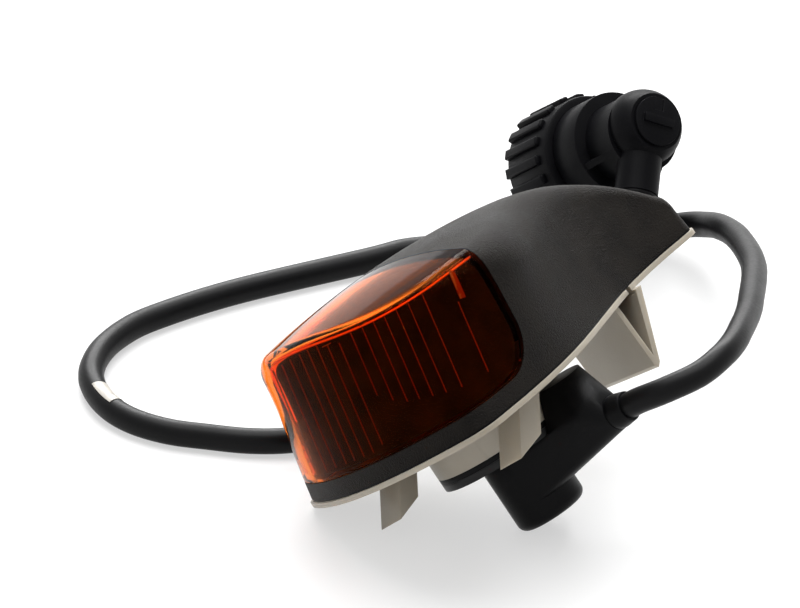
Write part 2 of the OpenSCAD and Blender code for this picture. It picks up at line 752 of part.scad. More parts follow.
// Coupling ring: grip ribs outside, bayonet lugs inside
module coupling_ring() {
  bore_r = ring_r - ring_wall;
  groove_r = 1.2;
  lug_x = 12;
  color("black") in_lead_end() along_x(ring_x) {
    difference() {
      rotate_extrude($fn = fn_round) polygon([
        [hub_r + ring_gap, 0], [ring_r - 1, 0], [ring_r, 1], [ring_r, ring_l - 0.8],
        [ring_r - 0.8, ring_l], [bore_r, ring_l], [bore_r, lip_t], [hub_r + ring_gap, lip_t]
      ]);
      for (i = [0 : grip_n - 1]) rotate([0, 0, i * 360 / grip_n]) translate([ring_r + 0.15, 0, 2.5])
        cylinder(r = groove_r, h = ring_l, $fn = 16);
    }
    for (a = [0 : 120 : 240]) rotate([0, 0, a]) intersection() {
      translate([0, 0, lug_x]) cylinder(r = bore_r + 0.5, h = 3, $fn = fn_round);
      translate([bore_r - 1.5, -4, lug_x]) cube([3, 8, 3]);
    }
  }
}

housing();
lens();
base_plate();
base_seal();
bulb_glass();
bulb_cap();
centre_contact();
side_contact();
bulb_holder();
holder_seal();
elbow();
elbow_boot();
cable();
cable_label();
backshell();
backshell_cap();
cable_grommet();
plug_body();
contact_insert();
contact_pins();
nose_seal();
ring_clip();
coupling_ring();
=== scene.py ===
import math

import bmesh
import bpy
from mathutils import Euler, Matrix, Vector


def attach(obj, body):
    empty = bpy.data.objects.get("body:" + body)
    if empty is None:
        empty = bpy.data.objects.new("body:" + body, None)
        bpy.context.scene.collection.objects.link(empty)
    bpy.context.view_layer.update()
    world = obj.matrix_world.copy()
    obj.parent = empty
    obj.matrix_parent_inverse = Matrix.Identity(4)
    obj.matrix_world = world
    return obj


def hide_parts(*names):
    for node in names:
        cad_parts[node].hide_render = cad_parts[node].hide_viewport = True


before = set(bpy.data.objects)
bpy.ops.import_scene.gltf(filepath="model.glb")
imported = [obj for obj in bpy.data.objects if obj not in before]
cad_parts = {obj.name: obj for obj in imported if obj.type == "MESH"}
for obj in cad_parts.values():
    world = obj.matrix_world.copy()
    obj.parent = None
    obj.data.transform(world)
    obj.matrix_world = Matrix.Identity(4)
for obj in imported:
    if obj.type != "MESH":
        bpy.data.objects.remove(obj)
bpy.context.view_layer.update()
print("frame loaded, with", len(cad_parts), "pieces")

scene = bpy.context.scene
mm = 0.001


# lines and turns that several pieces share

lampPlace = {
    "turn": (-37.9, -10.4, 0.0),          # how the lamp lies on the table, in degrees
    "shift": (-66.68, -3.78, 24.33),
}
plugPlace = {
    "turn": (35.0, 39.0, 82.0),           # how the connector lies at the lead's end
    "shift": (104.4, 49.6, 40.2),
}


def placed(place):
    turn = Euler([math.radians(a) for a in place["turn"]], "XYZ").to_matrix().to_4x4()
    return Matrix.Translation(Vector(place["shift"])) @ turn


lampAxes = placed(lampPlace)
plugAxes = placed(plugPlace)


# camera

view = {
    "right": (0.658121, -0.752888, 0.006046),
    "up": (0.373012, 0.333015, 0.866004),
    "back": (-0.654018, -0.56768, 0.5),
    "distance": 7200.0,
    "pixelsPerMm": 3.825,
    "pictureWidth": 800.0, "sensorWidth": 36.0,
    "fromLamp": (7.88, 49.61),            # image centre from the lamp's corner, right and up
}


def makeCamera(view):
    right, up, back = (Vector(view[k]) for k in ("right", "up", "back"))
    aim = Vector(lampPlace["shift"]) + view["fromLamp"][0] * right + view["fromLamp"][1] * up
    data = bpy.data.cameras.new("photoCamera")
    data.sensor_width = view["sensorWidth"]
    data.sensor_fit = "HORIZONTAL"
    data.lens = view["distance"] * view["pixelsPerMm"] * view["sensorWidth"] / view["pictureWidth"]
    data.clip_start = 0.1
    data.clip_end = 40.0
    camera = bpy.data.objects.new("photoCamera", data)
    turn = Matrix((right, up, back)).transposed().to_4x4()
    camera.matrix_world = Matrix.Translation((aim + back * view["distance"]) * mm) @ turn
    scene.collection.objects.link(camera)
    scene.camera = camera


makeCamera(view)
scene.view_settings.view_transform = "Standard"


# materials: sums on sockets are written as plain arithmetic

class Signal:
    def __init__(self, finish, socket):
        self.finish = finish
        self.socket = socket

    def sum(self, operation, other):
        return self.finish.node("ShaderNodeMath", {"operation": operation}, {0: self, 1: other})

    def __add__(self, other):
        return self.sum("ADD", other)

    def __mul__(self, other):
        return self.sum("MULTIPLY", other)

    def largest(self, other):
        return self.sum("MAXIMUM", other)


class Finish:
    def __init__(self, name, **fixed):
        self.material = bpy.data.materials.new(name)
        self.material.use_nodes = True
        self.tree = self.material.node_tree
        self.tree.nodes.clear()
        self.output = self.tree.nodes.new("ShaderNodeOutputMaterial")
        self.surface = self.tree.nodes.new("ShaderNodeBsdfPrincipled")
        self.tree.links.new(self.surface.outputs[0], self.output.inputs["Surface"])
        for key, value in fixed.items():
            self.surface.inputs[self.label(key)].default_value = value

    def label(self, key):
        words = "".join(" " + c if c.isupper() else c for c in key).split()
        text = " ".join(w[:1].upper() + w[1:] for w in words)
        return {"Ior": "IOR", "Specular Level": "Specular IOR Level"}.get(text, text)

    def node(self, kind, settings=None, values=None, output=0):
        made = self.tree.nodes.new(kind)
        for key, value in (settings or {}).items():
            setattr(made, key, value)
        for key, value in (values or {}).items():
            self.plug(made.inputs[key], value)
        return Signal(self, made.outputs[output])

    def plug(self, socket, value):
        if isinstance(value, Signal):
            self.tree.links.new(value.socket, socket)
        else:
            socket.default_value = value

    def feed(self, key, value):
        self.plug(self.surface.inputs[self.label(key)], value)

    def place(self):
        return self.node("ShaderNodeTexCoord", output="Object")

    def noise(self, size, detail=2.0, roughness=0.5):
        # size is that of one grain, in millimetres
        return self.node("ShaderNodeTexNoise", {"noise_dimensions": "3D"}, {
            "Vector": self.place(), "Scale": 1 / mm / size, "Detail": detail, "Roughness": roughness})

    def mapped(self, value, low, high, newLow, newHigh):
        return self.node("ShaderNodeMapRange", {"clamp": True}, {
            0: value, 1: low, 2: high, 3: newLow, 4: newHigh})

    def blend(self, factor, a, b):
        return self.node("ShaderNodeMix", {"data_type": "RGBA"}, {0: factor, 6: a, 7: b}, output=2)

    def bump(self, height, depth):
        # depth in millimetres
        return self.node("ShaderNodeBump", {}, {
            "Strength": 1.0, "Distance": depth * mm, "Height": height})


def colour(red, green, blue):
    # a colour as it is read on a screen, from 0 to 255
    def linear(v):
        v /= 255.0
        return v / 12.92 if v <= 0.04045 else ((v + 0.055) / 1.055) ** 2.4
    return (linear(red), linear(green), linear(blue), 1.0)


def grained(name, dark, light, grain, depth, roughness, spread=0.08, specular=0.5, metallic=0.0):
    finish = Finish(name, specularLevel=specular, metallic=metallic)
    fine = finish.noise(grain, 2.0, 0.55)
    broad = finish.noise(grain * 22, 3.0)
    tone = finish.mapped(broad * 0.6 + fine * 0.4, 0.35, 0.65, 0.0, 1.0)
    finish.feed("baseColor", finish.blend(tone, colour(*dark), colour(*light)))
    finish.feed("roughness", finish.mapped(
        fine * 0.5 + broad * 0.5, 0.3, 0.7, roughness - spread, roughness + spread))
    finish.feed("normal", finish.bump(fine, depth))
    return finish.material


# dark and light tone, size and depth of the grain in millimetres, roughness, its spread, gloss, metal
grainedFinishes = {
    "housingPlastic": ((16, 14, 13), (30, 27, 24), 0.45, 0.5, 0.44, 0.1, 0.05),
    "softBlack": ((4, 4, 5), (7, 7, 8), 0.35, 0.03, 0.4, 0.08, 0.08),
    "blackPlastic": ((6, 6, 7), (10, 10, 11), 0.3, 0.02, 0.36, 0.08, 0.22),
    "connectorPlastic": ((5, 5, 7), (10, 10, 12), 0.32, 0.03, 0.44, 0.08, 0.05),
    "sheath": ((4, 4, 5), (8, 8, 9), 0.8, 0.02, 0.42, 0.08, 0.12),
    "brightMetal": ((196, 197, 198), (214, 214, 214), 0.2, 0.01, 0.3, 0.08, 0.5, 1.0),
    "contactBrass": ((198, 160, 88), (214, 178, 108), 0.2, 0.01, 0.3, 0.08, 0.5, 1.0),
}
finishes = {name: grained(name, *values) for name, values in grainedFinishes.items()}


def palePlastic():
    finish = Finish("palePlastic", subsurfaceWeight=0.25, subsurfaceScale=0.004,
                    subsurfaceRadius=(1.0, 0.85, 0.6), specularLevel=0.45)
    fine = finish.noise(0.5, 2.0)
    broad = finish.noise(14.0, 3.0)
    finish.feed("baseColor", finish.blend(broad, colour(136, 129, 117), colour(156, 149, 136)))
    finish.feed("roughness", finish.mapped(fine, 0.3, 0.7, 0.34, 0.46))
    finish.feed("normal", finish.bump(fine, 0.03))
    return finish.material


def paperLabel():
    finish = Finish("label", specularLevel=0.4)
    fine = finish.noise(0.4, 3.0)
    worn = finish.noise(3.0, 4.0, 0.6)
    tone = finish.mapped(worn, 0.35, 0.7, 0.0, 1.0)
    finish.feed("baseColor", finish.blend(tone, colour(168, 163, 154), colour(142, 138, 131)))
    finish.feed("roughness", finish.mapped(fine, 0.3, 0.7, 0.32, 0.5))
    finish.feed("normal", finish.bump(fine + worn, 0.02))
    return finish.material


def clearGlass():
    finish = Finish("clearGlass", transmissionWeight=1.0, ior=1.5, specularLevel=0.5)
    haze = finish.noise(6.0, 3.0)
    finish.feed("baseColor", finish.blend(haze, (0.98, 0.93, 0.78, 1.0), (0.97, 0.9, 0.7, 1.0)))
    finish.feed("roughness", finish.mapped(haze, 0.3, 0.7, 0.0, 0.03))
    return finish.material


def amberPlastic():
    finish = Finish("amberPlastic", transmissionWeight=1.0, ior=1.07, specularLevel=0.3,
                    specularTint=(0.4, 0.25, 0.18, 1.0))
    flow = finish.noise(18.0, 2.0)
    fine = finish.noise(1.4, 2.0)
    finish.feed("baseColor", finish.blend(flow, (0.86, 0.20, 0.022, 1.0), (0.78, 0.155, 0.014, 1.0)))
    finish.feed("roughness", finish.mapped(fine, 0.35, 0.65, 0.015, 0.05))
    finish.feed("normal", finish.bump(flow, 0.02))
    return finish.material


def paintedShadeSheet():
    # painted shade: a near-black sheet inside the lens, whose emission colour is a faint painted glow that
    # stands for the dim light inside the lamp
    finish = Finish("lensPaintedShade", specularLevel=0.0, emissionStrength=1.0)
    flow = finish.noise(9.0, 3.0)
    fine = finish.noise(2.0, 2.0)
    # near-black base colour: painted shade
    finish.feed("baseColor", finish.blend(flow, colour(3, 1, 1), colour(5, 2, 1)))
    tone = finish.mapped(flow * 0.8 + fine * 0.2, 0.35, 0.65, 0.0, 1.0)
    # painted glow, darker and lighter at random
    finish.feed("emissionColor", finish.blend(tone, colour(15, 12, 13), colour(34, 28, 28)))
    finish.feed("roughness", finish.mapped(flow, 0.3, 0.7, 0.6, 0.8))
    return finish.material


def edgeGlow():
    # painted glow: strips with emission and a bright colour stand for the light that the lens's moulded
    # edges gather from the whole lens
    finish = Finish("edgeGlow", specularLevel=0.2, emissionStrength=0.1)
    flow = finish.noise(16.0, 2.0)
    finish.feed("baseColor", finish.blend(flow, colour(200, 110, 60), colour(235, 140, 80)))
    finish.feed("emissionColor", finish.blend(flow, colour(150, 80, 50), colour(250, 170, 110)))
    finish.feed("roughness", finish.mapped(flow, 0.3, 0.7, 0.35, 0.5))
    return finish.material


def ribGlow():
    # the lens's real flutes, coloured lighter than the amber as painted glow for the light they catch
    finish = Finish("ribGlow", specularLevel=0.3)
    flow = finish.noise(9.0, 2.0)
    finish.feed("baseColor", finish.blend(flow, colour(98, 66, 62), colour(122, 82, 76)))
    finish.feed("roughness", finish.mapped(flow, 0.3, 0.7, 0.4, 0.5))
    return finish.material


finishes["ribGlow"] = ribGlow()
finishes["edgeGlow"] = edgeGlow()
finishes["palePlastic"] = palePlastic()
finishes["label"] = paperLabel()
finishes["clearGlass"] = clearGlass()
finishes["amberPlastic"] = amberPlastic()
finishes["lensPaintedShade"] = paintedShadeSheet()
print("materials made")


# turning bmeshes into finished pieces

def sharpBy(mesh, degrees):
    bm = bmesh.new()
    bm.from_mesh(mesh)
    limit = math.radians(degrees)
    for face in bm.faces:
        face.smooth = True
    for edge in bm.edges:
        edge.smooth = len(edge.link_faces) == 2 and edge.calc_face_angle(0.0) < limit
    bm.to_mesh(mesh)
    bm.free()


def pieceFrom(bm, name, finish, body=None, axes=None, scale=mm, replaces=(), smooth=32):
    if axes is not None:
        bmesh.ops.transform(bm, matrix=axes, verts=bm.verts)
    if scale != 1:
        bmesh.ops.scale(bm, vec=(scale, scale, scale), verts=bm.verts)
    mesh = bpy.data.meshes.new(name)
    bm.to_mesh(mesh)
    bm.free()
    mesh.materials.append(finishes[finish])
    piece = bpy.data.objects.new(name, mesh)
    scene.collection.objects.link(piece)
    if smooth:
        sharpBy(mesh, smooth)
    if body:
        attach(piece, body)
    if replaces:
        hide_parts(*replaces)
    return piece


def lampTool(bm, name, finish="housingPlastic"):
    # a shape in the lamp's axes, from which other pieces are made
    return pieceFrom(bm, name, finish, axes=lampAxes, smooth=0)


def drawnOn(bm, edges, place, ring):
    # draws edges out to the next ring of points, and gives the new edges
    made = bmesh.ops.extrude_edge_only(bm, edges=edges)["geom"]
    fresh = [g for g in made if isinstance(g, bmesh.types.BMVert)]
    for vert in fresh:
        vert.co = ring[vert[place]]
    return [g for g in made if isinstance(g, bmesh.types.BMEdge) and all(v in fresh for v in g.verts)]


def movedOn(bm, face, way):
    # draws a face out by a way, into a solid
    made = bmesh.ops.extrude_face_region(bm, geom=[face])["geom"]
    fresh = [g for g in made if isinstance(g, bmesh.types.BMVert)]
    bmesh.ops.translate(bm, vec=way, verts=fresh)
    return fresh


def withModifiers(piece, smooth):
    # works the piece's modifiers into its mesh
    graph = bpy.context.evaluated_depsgraph_get()
    mesh = bpy.data.meshes.new_from_object(piece.evaluated_get(graph))
    piece.modifiers.clear()
    old = piece.data
    piece.data = mesh
    bpy.data.meshes.remove(old)
    if smooth:
        sharpBy(mesh, smooth)
    return piece


def cut(piece, tools, operation):
    for tool in tools:
        step = piece.modifiers.new(operation, "BOOLEAN")
        step.operation = operation
        step.object = tool
        step.solver = "EXACT"
    return withModifiers(piece, 0)


def dropped(*tools):
    for tool in tools:
        bpy.data.objects.remove(tool, do_unlink=True)


def softened(piece, width, angle=35, smooth=32):
    step = piece.modifiers.new("softEdges", "BEVEL")
    step.width = width * mm
    step.segments = 2
    step.limit_method = "ANGLE"
    step.angle_limit = math.radians(angle)
    step.harden_normals = False
    step.use_clamp_overlap = True
    return withModifiers(piece, smooth)


def carriedOver(node, finish, slot, width):
    # the CAD shape, with its flats made whole again and its edges rounded
    bm = bmesh.new()
    bm.from_mesh(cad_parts[node].data)
    bmesh.ops.remove_doubles(bm, verts=bm.verts, dist=2e-6)
    bmesh.ops.dissolve_limit(bm, angle_limit=math.radians(0.6), verts=bm.verts, edges=bm.edges)
    piece = pieceFrom(bm, node + "Finished", finish, "lamp", scale=1, replaces=(node,))
    return softened(piece, width) if width else piece


# lead

lead = {
    "diameter": 7.0,
    "steps": 12,                          # points from one route point to the next
    "way": [
        (-9, -56, 51), (-1, -60.5, 54), (8, -60.5, 55.5), (17, -57, 54.5), (27, -51, 52), (39, -43, 48),
        (51, -34, 44), (78, -12, 34), (99, 11, 24.5), (108, 25, 19), (114, 36, 13), (115.2, 44.5, 9),
        (111.2, 52.8, 5.6), (104.3, 58, 3.9), (96, 63, 3.5), (86, 72, 3.5), (75, 86, 3.5), (64, 96, 3.5),
        (52, 101, 3.5), (17, 116, 3.5), (-7, 123, 3.5), (-20, 124, 3.6), (-33, 121, 3.8), (-44, 114, 3.8),
        (-51, 103, 3.6), (-53, 92, 3.5), (-51, 81, 3.5), (-46, 71, 3.5), (-40, 61, 3.5), (-32, 53, 3.5),
        (-21, 48, 3.5), (-4, 45, 3.5), (18, 42, 3.5), (36, 39, 3.5), (52, 37, 6), (65, 36, 10.5),
        (76, 36, 16),
    ],
    "elbowMouth": (45.0, 0.0, -18.5),     # in the lamp's axes, on the arm's line
    "armTurn": -74.0,
    "armLength": 41.5,
    "legLength": 22.0,
    "straightStart": 4, "straightEnd": 7,
}


def leadLine(lead):
    arm = math.radians(lead["armTurn"])
    outWay = (lampAxes.to_3x3() @ Vector((math.cos(arm), math.sin(arm), 0))).normalized()
    start = lampAxes @ Vector(lead["elbowMouth"]) + lead["armLength"] * outWay
    inWay = (plugAxes.to_3x3() @ Vector((0, 0, -1))).normalized()
    end = Vector(plugPlace["shift"]) + lead["legLength"] * inWay
    points = [start, start + lead["straightStart"] * outWay]
    points += [Vector(p) for p in lead["way"]] + [end + lead["straightEnd"] * inWay, end]
    line = []
    last = len(points) - 1
    for k in range(last):
        a = points[k - 1] if k else 2 * points[0] - points[1]
        b, c = points[k:k + 2]
        d = points[k + 2] if k + 2 <= last else 2 * points[last] - points[last - 1]
        for i in range(lead["steps"]):
            t = i / lead["steps"]
            p = 0.5 * (2 * b + (c - a) * t + (2 * a - 5 * b + 4 * c - d) * t * t
                       + (3 * b - a - 3 * c + d) * t ** 3)
            p.z = max(p.z, lead["diameter"] / 2)
            line.append(p * mm)
    line.append(end * mm)
    return line


def leadLength(line):
    return sum((b - a).length for a, b in zip(line, line[1:]))


def makeLead(lead):
    line = leadLine(lead)
    data = bpy.data.curves.new("leadSheath", "CURVE")
    data.dimensions = "3D"
    data.bevel_depth = lead["diameter"] / 2 * mm
    data.bevel_resolution = 7
    data.use_fill_caps = True
    spline = data.splines.new("POLY")
    spline.points.add(len(line) - 1)
    for point, place in zip(spline.points, line):
        point.co = (*place, 1.0)
    spline.use_smooth = True
    data.materials.append(finishes["sheath"])
    piece = bpy.data.objects.new("leadSheath", data)
    scene.collection.objects.link(piece)
    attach(piece, "lamp")
    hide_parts("cable")
    return piece, line


leadPiece, leadWay = makeLead(lead)
print("lead", round(leadLength(leadWay), 4), "m")


# lamp body: one wrapped form, cut into housing, lens and a sheet of painted shade

body = {
    "length": 137.0, "halfWidth": 44.0, "frontHeight": 43.0, "roofHeight": 48.0, "tailHeight": 12.0,
    "tailHalfWidth": 4.5, "cornerRadius": 10.0, "shoulder": 71.0, "waist": 77.0, "waistHalfWidth": 6.0,
    "frontBulge": 9.5, "edgeRadius": 9.0, "draft": 6.0, "foot": 2.0,
    "housingWall": 2.4, "lensWall": 2.2, "lensBack": 41.0, "band": 7.0,
    "lensCorner": 13.0, "lensLean": 8.0, "lensGap": 0.25,
    "shadeGap": 1.4,                      # between the lens and the sheet of painted shade behind it
    "roofWay": (4, 60, 106), "roofEnd": 2, "roofFall": 6,
    "roofCorner": 44.0, "roofPower": 2.6,  # at the roof, where the corner ends and how full it is
    "lensEdge": 5.5,                      # radius between the lens's walls and its roof
    "growFrom": 20, "growOver": 45,       # along the lamp, where that radius grows to the edgeRadius
    "bendShare": (0.42, 0.45, 95, 30),    # of the section: at first, its growth, from where, over what
    "edgeTurn": 80,                       # how far the edge turns, in degrees
    "crown": 0.13,                        # how far the roof falls from the middle to the sides
    "spineStart": 30, "frontRoom": 30,
    "roomShare": 0.9, "draftShare": 0.8, "bendReach": 0.83,
}
steps = {
    "front": 18, "corner": 14, "flank": 46, "tail": 10, "edge": 9,
    "wall": (0, 0.2, 0.4, 0.6, 0.8, 1),
    "roof": (0.04, 0.1, 0.18, 0.28, 0.4, 0.52, 0.64, 0.76, 0.88, 1),
    "widthsPerMm": 2,
}


def bezier(a, b, c, d, t):
    s = 1 - t
    return s ** 3 * a + 3 * s * s * t * b + 3 * s * t * t * c + t ** 3 * d


def roofTable(body):
    # the roof's line from front to tail, as places and heights
    n = 80
    places = (*body["roofWay"], body["length"] - body["roofEnd"])
    high = body["roofHeight"]
    heights = (body["frontHeight"], high, high - body["roofFall"], body["tailHeight"])
    return [(bezier(*places, i / n), bezier(*heights, i / n)) for i in range(n + 1)]


roofLine = roofTable(body)


def roofAt(x):
    if x <= roofLine[0][0]:
        return roofLine[0][1]
    for (xa, za), (xb, zb) in zip(roofLine, roofLine[1:]):
        if x <= xb:
            return za + (zb - za) * (x - xa) / (xb - xa)
    return roofLine[-1][1]


def outline(body, wall, rounder=False):
    b = body
    front, corner, flank = (steps[k] for k in ("front", "corner", "flank"))
    w = b["halfWidth"] - wall
    r = b["cornerRadius"] - wall
    turn = math.atan(2 * b["frontBulge"] / (b["halfWidth"] - b["cornerRadius"]))
    tail = max(b["tailHalfWidth"] - wall, 0.3)
    faceY = w - r + r * math.sin(turn)
    cornerX = wall + b["frontBulge"] + r * math.cos(turn)
    cornerY = w - r
    tailX = b["length"] - wall - tail
    half = [(wall + b["frontBulge"] * (i / front) ** 2, faceY * i / front) for i in range(front)]
    for i in range(corner):
        a = math.pi - turn - i * (math.pi / 2 - turn) / corner
        half.append((cornerX + r * math.cos(a), cornerY + r * math.sin(a)))
    if rounder:
        # at the roof, front and corners are one long curve
        power = 2 / b["roofPower"]
        cornerX = b["roofCorner"]
        for i in range(len(half)):
            a = math.pi / 2 * i / len(half)
            half[i] = (cornerX - (cornerX - wall) * math.cos(a) ** power, w * math.sin(a) ** power)
    for i in range(flank):
        t = i / flank
        half.append((bezier(cornerX, b["shoulder"], b["waist"], tailX, t),
                     bezier(w, w, b["waistHalfWidth"] - wall / 2, tail, t)))
    for i in range(steps["tail"] + 1):
        a = math.pi / 2 * (1 - i / steps["tail"])
        half.append((tailX + tail * math.cos(a), tail * math.sin(a)))
    return half + [(x, -y) for x, y in reversed(half[1:-1])]


def softLeast(a, b, k=1.5):
    h = max(k - abs(a - b), 0) / k
    return min(a, b) - h * h * k / 4


def widthAt(body, x):
    # half width of the lamp at a place along it
    start = steps["front"] + steps["corner"]
    flank = outline(body, 0)[start:start + steps["flank"]]
    if x <= flank[0][0]:
        return body["halfWidth"]
    for (xa, ya), (xb, yb) in zip(flank, flank[1:]):
        if x <= xb:
            return ya + (yb - ya) * (x - xa) / (xb - xa)
    return body["tailHalfWidth"]


perMm = steps["widthsPerMm"]
widthTable = [widthAt(body, i / perMm) for i in range(int(perMm * (body["length"] + 3)))]


def roofOver(x, y):
    # the roof is crowned from side to side
    step = min(max(int(perMm * x), 0), len(widthTable) - 2)
    w, nextW = widthTable[step:step + 2]
    w += (nextW - w) * min(max(perMm * x - int(perMm * x), 0), 1)
    return roofAt(x) - body["crown"] * y * y / max(w, 3)


def edgeBend(body, wall, x, y, top):
    # how far the edge between wall and roof reaches
    b = body
    full = min(max((x - b["growFrom"]) / b["growOver"], 0), 1)
    full = full * full * (3 - 2 * full)
    radius = b["lensEdge"] + (b["edgeRadius"] - b["lensEdge"]) * full
    section = b["halfWidth"] if x < b["spineStart"] else max(abs(y), b["tailHalfWidth"] - wall, 1.5)
    first, growth, start, over = b["bendShare"]
    limit = first + growth * min(max((x - start) / over, 0), 1)
    return softLeast(softLeast(max(radius - wall * 0.6, 2), limit * section), limit * top)


def formRings(body, wall, low):
    # the corners are rounder at the roof than at the foot
    b = body
    plan = outline(b, wall)
    high = outline(b, wall, True)
    n = len(plan)
    lean = math.tan(math.radians(b["draft"]))
    last = math.radians(b["edgeTurn"])
    spine = (b["spineStart"], b["length"] - 2 * b["tailHalfWidth"])
    tail = max(b["tailHalfWidth"] - wall, 0.3)
    columns = []
    for i, (x, y) in enumerate(high):
        dx = high[(i + 1) % n][0] - high[i - 1][0]
        dy = high[(i + 1) % n][1] - high[i - 1][1]
        d = math.hypot(dx, dy)
        way = (dy / d, -dx / d)
        top = roofOver(x, y) - wall
        bend = edgeBend(b, wall, x, y, top)
        if x > b["length"] - wall - tail:
            room = b["roomShare"] * tail
        else:
            ahead = b["frontRoom"] * (x < b["spineStart"])
            room = b["roomShare"] * (abs(y) / max(abs(way[1]), 0.3) + ahead)
        bend = max(min(bend, (room - (top - bend) * lean) / b["bendReach"]), 0.2)
        foot = top - bend
        column = []
        for v in steps["wall"]:
            z = v * foot if v else low
            inward = min(max(z, 0) * lean, b["draftShare"] * room)
            at = (plan[i][0] + (x - plan[i][0]) * v ** 1.5, plan[i][1] + (y - plan[i][1]) * v ** 1.5)
            column.append((at[0] + way[0] * inward, at[1] + way[1] * inward, z))
        draft = min(foot * lean, b["draftShare"] * room)
        deep = draft + bend * (1 - math.cos(last))
        rim = (x + way[0] * deep, y + way[1] * deep)
        rise = roofOver(*rim) - wall - foot
        for k in range(1, steps["edge"] + 1):
            a = last * k / steps["edge"]
            inward = draft + bend * (1 - math.cos(a))
            z = foot + rise * math.sin(a) / math.sin(last)
            column.append((x + way[0] * inward, y + way[1] * inward, z))
        goal = min(max(rim[0], spine[0]), spine[1])
        for v in steps["roof"]:
            at = (rim[0] + v * (goal - rim[0]), rim[1] * (1 - v))
            column.append((*at, roofOver(*at) - wall))
        columns.append(column)
    return [[column[k] for column in columns] for k in range(len(columns[0]))]


def wrappedForm(body, wall, low, name):
    # an outline is drawn, then drawn up ring by ring to the ridge
    rings = formRings(body, wall, low)
    n = len(rings[0])
    bm = bmesh.new()
    place = bm.verts.layers.int.new("place")
    for i, point in enumerate(rings[0]):
        bm.verts.new(point)[place] = i
    bm.verts.ensure_lookup_table()
    edges = [bm.edges.new((bm.verts[i], bm.verts[(i + 1) % n])) for i in range(n)]
    for ring in rings[1:]:
        edges = drawnOn(bm, edges, place, ring)
    bmesh.ops.holes_fill(bm, edges=[e for e in bm.edges if e.is_boundary and e not in edges], sides=0)
    bmesh.ops.remove_doubles(bm, verts=bm.verts, dist=0.002)
    bmesh.ops.recalc_face_normals(bm, faces=bm.faces)
    return lampTool(bm, name)


def lensRoom(body, grow, name, depth=60, height=80):
    # the side view of the room that the lens takes, drawn through the whole lamp
    r = body["lensCorner"] + grow
    low = body["band"] - grow
    back = body["lensBack"] + grow
    ahead = -20
    line = [(ahead, low)]
    for i in range(13):
        a = math.radians(7.5 * i)
        line.append((back - r + r * math.sin(a), low + r - r * math.cos(a)))
    lean = (height - low - r) * math.tan(math.radians(body["lensLean"]))
    line += [(back + lean, height), (ahead, height)]
    bm = bmesh.new()
    face = bm.faces.new([bm.verts.new((x, -depth, z)) for x, z in line])
    movedOn(bm, face, (0, 2 * depth, 0))
    bmesh.ops.recalc_face_normals(bm, faces=bm.faces)
    return lampTool(bm, name)


def finished(piece, name, finish, node=None):
    # gives a piece cut from the wrapped form its name, finish and place in the model
    piece.name = name
    piece.data.materials.clear()
    piece.data.materials.append(finishes[finish])
    sharpBy(piece.data, 32)
    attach(piece, "lamp")
    if node:
        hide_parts(node)
    print(name, len(piece.data.polygons), "faces")
    return piece


def makeBody(body):
    outer = wrappedForm(body, 0, body["foot"], "housingOuter")
    inner = wrappedForm(body, body["housingWall"], body["foot"] - 1, "housingInner")
    room = lensRoom(body, body["lensGap"], "housingRoom")
    cut(outer, [inner, room], "DIFFERENCE")
    dropped(inner, room)
    return outer


housing = finished(makeBody(body), "housingFinished", "housingPlastic", "housing")


def makeLens(body):
    outer = wrappedForm(body, 0, 0, "lensOuter")
    inner = wrappedForm(body, body["lensWall"], -1, "lensInner")
    room = lensRoom(body, 0, "lensRoomA")
    cut(outer, [inner], "DIFFERENCE")
    cut(outer, [room], "INTERSECT")
    dropped(inner, room)
    return outer


finished(makeLens(body), "lensFinished", "amberPlastic", "lens")


# a sheet of painted shade just inside the lens, with a faint painted glow
def makeShade(body):
    shade = wrappedForm(body, body["lensWall"] + body["shadeGap"], body["foot"], "lensPaintedShade")
    room = lensRoom(body, -0.5, "shadeRoom")
    cut(shade, [room], "INTERSECT")
    dropped(room)
    return shade


finished(makeShade(body), "lensPaintedShade", "lensPaintedShade")


ribs = {
    "depth": 0.3, "width": 0.2, "reach": 14,
    "side": Vector((3.01, -2.13, -0.675)),  # the ribs lie in planes across this line
    "inside": Vector((40, 0, 20)),        # a point inside the lamp
    # place along the outline, its height, the rib's lower and upper end, and a width of its own
    "thin": [
        (16.2, 12, 9, 37.4), (12.47, 10.9, 9, 38.4), (8.25, 11, 9, 39.2), (5.19, 11.2, 9, 39.7),
        (2.44, 11.2, 9, 40), (0.47, 11.4, 9, 40.2), (-1.4, 11.4, 9, 40.3), (-3.41, 11.7, 9, 39.4),
        (-5.59, 12.3, 10, 38.6), (-8.26, 40.3, 22, 39.6), (-10.7, 40.5, 19, 39.6), (-13.75, 40.4, 17, 39.4),
        (-16.56, 40.1, 16, 39.2), (-19.45, 39.8, 15, 39), (-21.8, 39.4, 14, 38.6), (-24.62, 39.1, 13, 38.3),
        (-27.84, 31, 12, 31), (-28.6, 34, 31, 38, 1.7),
    ],
    # wide bars of painted glow, with the same columns as the thin ribs
    "wide": [(18.6, 13.8, 8.6, 37, 1.2), (20.6, 13.8, 8.6, 37, 1.0)],
    "steps": [(-3.0, -4.6, 39.4), (-10.7, -12.4, 39.6), (-16.56, -18.3, 39.3), (-19.45, -21, 39)],
    "edge": (23, -32, 12, 0.5),           # the painted bright line in the lens's edge: from, to, ring and width
}


def columnPoint(rings, place, height):
    # a point on the wall at a place along the outline and at a height
    n = len(rings[0])
    i = math.floor(place)
    line = [Vector(ring[i % n]).lerp(Vector(ring[(i + 1) % n]), place - i) for ring in rings]
    for a, b in zip(line, line[1:]):
        if height <= b.z:
            return a.lerp(b, (height - a.z) / (b.z - a.z))
    return line[-1]


def leaned(rings, place, start, height):
    # the place where the rib's plane meets the wall at another height
    side = ribs["side"]
    goal = columnPoint(rings, place, start).dot(side)
    low, high = place - ribs["reach"], place + ribs["reach"]
    for i in range(16):
        middle = (low + high) / 2
        if columnPoint(rings, middle, height).dot(side) > goal:
            low = middle
        else:
            high = middle
    return middle


